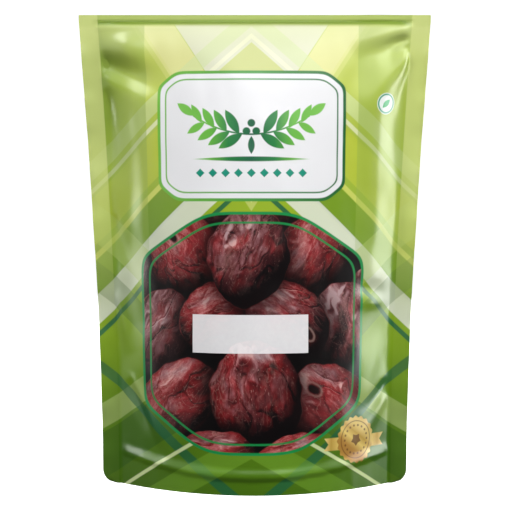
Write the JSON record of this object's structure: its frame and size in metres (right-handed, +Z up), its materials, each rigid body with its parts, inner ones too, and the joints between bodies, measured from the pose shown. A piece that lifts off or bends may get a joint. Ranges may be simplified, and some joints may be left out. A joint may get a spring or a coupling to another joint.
{
  "type": "filled stand-up pouch",
  "caption": "Heat-sealed film pouch that stands on its opened base, with a label on the front and dried jujubes inside.",
  "frame": {"origin": "on the surface that the pouch stands on, under the middle of its base", "axes": "+Z up towards the top seal, -Y out of the printed front, +X to the right seen from the front"},
  "size_m": [0.14, 0.0556, 0.187],
  "materials": {
    "printed_film": "glossy laminate printed in greens, yellow and cream",
    "base_film": "glossy laminate in plain deep green",
    "label_stock": "satin white label, slightly see-through",
    "dried_fruit": "wrinkled dark red skin"
  },
  "bodies": {
    "root": {"front_panel": "printed_film", "back_panel": "printed_film", "base_gusset": "base_film", "front_label": "label_stock", "dried_jujube_01": "dried_fruit", "dried_jujube_02": "dried_fruit", "dried_jujube_03": "dried_fruit", "dried_jujube_04": "dried_fruit", "dried_jujube_05": "dried_fruit", "dried_jujube_06": "dried_fruit", "dried_jujube_07": "dried_fruit", "dried_jujube_08": "dried_fruit", "dried_jujube_09": "dried_fruit", "dried_jujube_10": "dried_fruit", "dried_jujube_11": "dried_fruit", "dried_jujube_12": "dried_fruit", "dried_jujube_13": "dried_fruit", "dried_jujube_14": "dried_fruit", "dried_jujube_15": "dried_fruit", "dried_jujube_16": "dried_fruit", "dried_jujube_17": "dried_fruit", "dried_jujube_18": "dried_fruit", "dried_jujube_19": "dried_fruit", "dried_jujube_20": "dried_fruit", "dried_jujube_21": "dried_fruit", "dried_jujube_22": "dried_fruit", "dried_jujube_23": "dried_fruit", "dried_jujube_24": "dried_fruit", "dried_jujube_25": "dried_fruit", "dried_jujube_26": "dried_fruit", "dried_jujube_27": "dried_fruit", "dried_jujube_28": "dried_fruit"}
  },
  "joints": []
}
